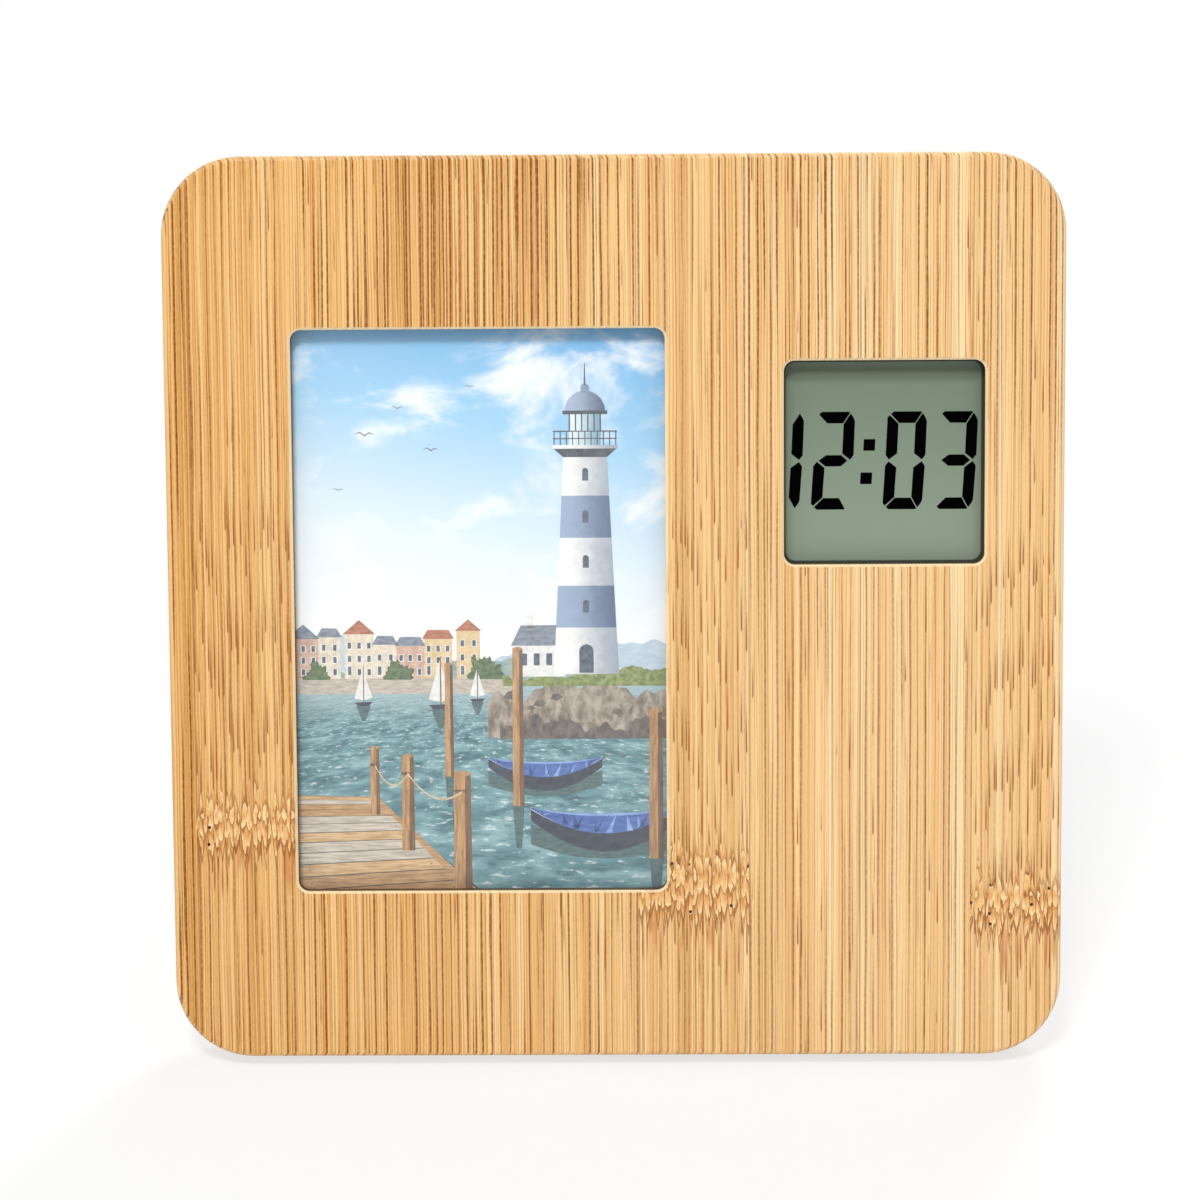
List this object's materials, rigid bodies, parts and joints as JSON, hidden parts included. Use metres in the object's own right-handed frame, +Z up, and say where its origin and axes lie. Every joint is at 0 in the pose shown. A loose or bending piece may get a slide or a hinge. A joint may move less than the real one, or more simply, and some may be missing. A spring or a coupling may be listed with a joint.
{
  "type": "photo frame clock",
  "caption": "Rounded bamboo picture frame with a small digital clock set beside the picture, leaning on a hinged leg; the back opens for the print and the button cell.",
  "frame": {"origin": "on the table, under the middle of the object's box", "axes": "+Z up, +X to the right seen from the front, +Y from the front to the back; the board leans back about X"},
  "size_m": [0.148, 0.0599, 0.1476],
  "materials": {
    "bamboo": "satin lacquered bamboo",
    "clear_pane": "clear sheet",
    "print_paper": "colour print",
    "foam_pad": "soft filler card",
    "door_board": "smooth hardboard",
    "steel": "zinc plated",
    "dark_plastic": "moulded",
    "button_plastic": "moulded",
    "lcd_film": "polarising film",
    "lcd_glass": "display glass",
    "lcd_reflector": "silvery film",
    "contact_rubber": "striped rubber",
    "circuit_laminate": "green laminate",
    "chip_epoxy": "black epoxy",
    "bright_metal": "bright nickel",
    "contact_brass": "plated spring brass"
  },
  "bodies": {
    "frame": {"bamboo_board": "bamboo", "photo_pane": "clear_pane", "photo_print": "print_paper", "filler_pad": "foam_pad", "back_door": "door_board", "turn_button_screws": "steel", "hinge_door_leaf": "steel", "hinge_pin": "steel", "hinge_door_rivets": "steel", "module_front_frame": "dark_plastic", "module_rear_case": "dark_plastic", "module_screws": "steel", "lcd_front_film": "lcd_film", "lcd_glass": "lcd_glass", "lcd_reflector": "lcd_reflector", "contact_strips": "contact_rubber", "circuit_board": "circuit_laminate", "circuit_board_screws": "steel", "chip_cover": "chip_epoxy", "quartz_crystal": "bright_metal", "negative_contact": "contact_brass", "positive_contact": "contact_brass", "button_cell": "bright_metal", "switch_domes": "bright_metal"},
    "leg": {"stand_leg": "bamboo", "hinge_leg_leaf": "steel", "hinge_leg_rivets": "steel"},
    "turn_1": {"turn_button_1": "steel"},
    "turn_2": {"turn_button_2": "steel"},
    "turn_3": {"turn_button_3": "steel"},
    "turn_4": {"turn_button_4": "steel"},
    "cover": {"battery_cover": "dark_plastic"},
    "mode": {"mode_button": "button_plastic"},
    "set": {"set_button": "button_plastic"}
  },
  "joints": [
    {"name": "leg_fold", "type": "hinge", "parent": "frame", "child": "leg", "pos_m": [-0.02235, 0.0049, 0.09449], "axis": [-1, 0, 0], "range_deg": [0, 27]},
    {"name": "turn_button_1_swivel", "type": "hinge", "parent": "frame", "child": "turn_1", "pos_m": [-0.05135, 0.01095, 0.12596], "axis": [0, 0.9703, -0.2419], "range_deg": [0, 90]},
    {"name": "turn_button_2_swivel", "type": "hinge", "parent": "frame", "child": "turn_2", "pos_m": [0.00665, 0.01095, 0.12596], "axis": [0, -0.9703, 0.2419], "range_deg": [0, 90]},
    {"name": "turn_button_3_swivel", "type": "hinge", "parent": "frame", "child": "turn_3", "pos_m": [-0.05135, -0.01566, 0.01923], "axis": [0, -0.9703, 0.2419], "range_deg": [0, 90]},
    {"name": "turn_button_4_swivel", "type": "hinge", "parent": "frame", "child": "turn_4", "pos_m": [0.00665, -0.01566, 0.01923], "axis": [0, 0.9703, -0.2419], "range_deg": [0, 90]},
    {"name": "battery_cover_twist", "type": "hinge", "parent": "frame", "child": "cover", "pos_m": [0.0359, 0.00567, 0.08806], "axis": [0, 0.9703, -0.2419], "range_deg": [0, 45]},
    {"name": "mode_button_press", "type": "slide", "parent": "frame", "child": "mode", "axis": [0, -0.9703, 0.2419], "range_m": [0, 0.00045], "stiffness_N_per_m": 1500},
    {"name": "set_button_press", "type": "slide", "parent": "frame", "child": "set", "axis": [0, -0.9703, 0.2419], "range_m": [0, 0.00045], "stiffness_N_per_m": 1500}
  ]
}
